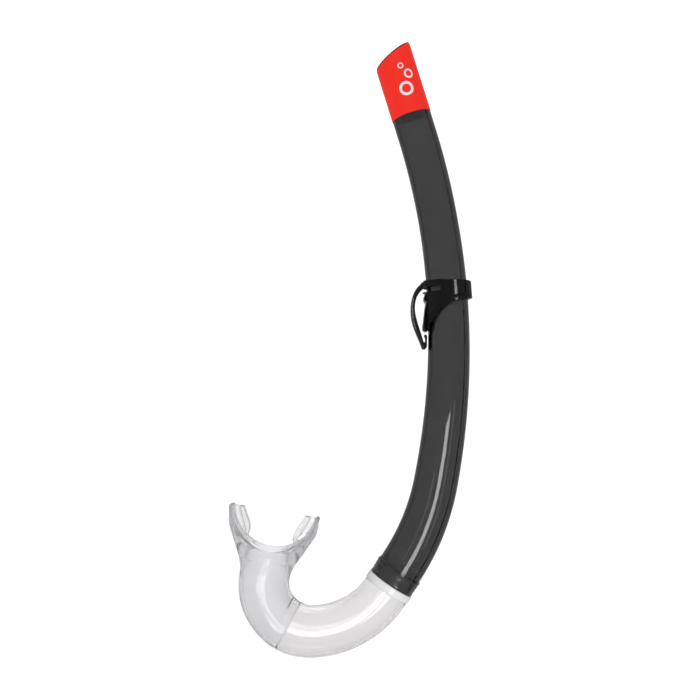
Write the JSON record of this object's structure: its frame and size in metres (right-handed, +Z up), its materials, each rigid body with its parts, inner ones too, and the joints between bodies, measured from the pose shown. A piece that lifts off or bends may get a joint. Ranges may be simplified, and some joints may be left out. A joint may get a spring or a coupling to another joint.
{
  "type": "snorkel tube",
  "caption": "Curved smoke-grey snorkel tube with a red signal band, black mask-strap keeper and clear swivelling mouthpiece.",
  "frame": {"origin": "centre of the keeper's slot that the mask strap passes through", "axes": "+Z up along the worn tube, +X from the mouthpiece towards the barrel, y = 0 is the plane that the whole tube bends in"},
  "size_m": [0.1603, 0.0336, 0.4056],
  "materials": {
    "smoke_tube": "gloss",
    "signal_red": "satin",
    "clear_soft": "gloss",
    "white_ring": "gloss",
    "black_plastic": "gloss"
  },
  "bodies": {
    "keeper": {"keeper_clip": "black_plastic"},
    "gate": {"keeper_gate": "black_plastic"},
    "barrel": {"barrel_tube": "smoke_tube", "tip_band": "signal_red", "socket_collar": "smoke_tube"},
    "elbow": {"coupling_ring": "white_ring", "elbow_tube": "clear_soft"},
    "mouthpiece": {"mouthpiece": "clear_soft"}
  },
  "joints": [
    {"name": "keeper_slide", "type": "hinge", "parent": "keeper", "child": "barrel", "pos_m": [-0.45691, 0, -0.01943], "axis": [0, 1, 0], "range_deg": [-1.8, 7]},
    {"name": "gate_spring", "type": "hinge", "parent": "keeper", "child": "gate", "pos_m": [0.0022, 0, 0.0176], "axis": [0, 1, 0], "range_deg": [0, 18], "stiffness_Nm_per_rad": 0.05},
    {"name": "elbow_swivel", "type": "hinge", "parent": "barrel", "child": "elbow", "pos_m": [-0.01931, 0, -0.17748], "axis": [-0.549, 0, -0.8358], "continuous": true},
    {"name": "mouthpiece_swivel", "type": "hinge", "parent": "elbow", "child": "mouthpiece", "pos_m": [-0.08669, 0, -0.20441], "axis": [-0.8686, 0, 0.4955], "continuous": true}
  ]
}
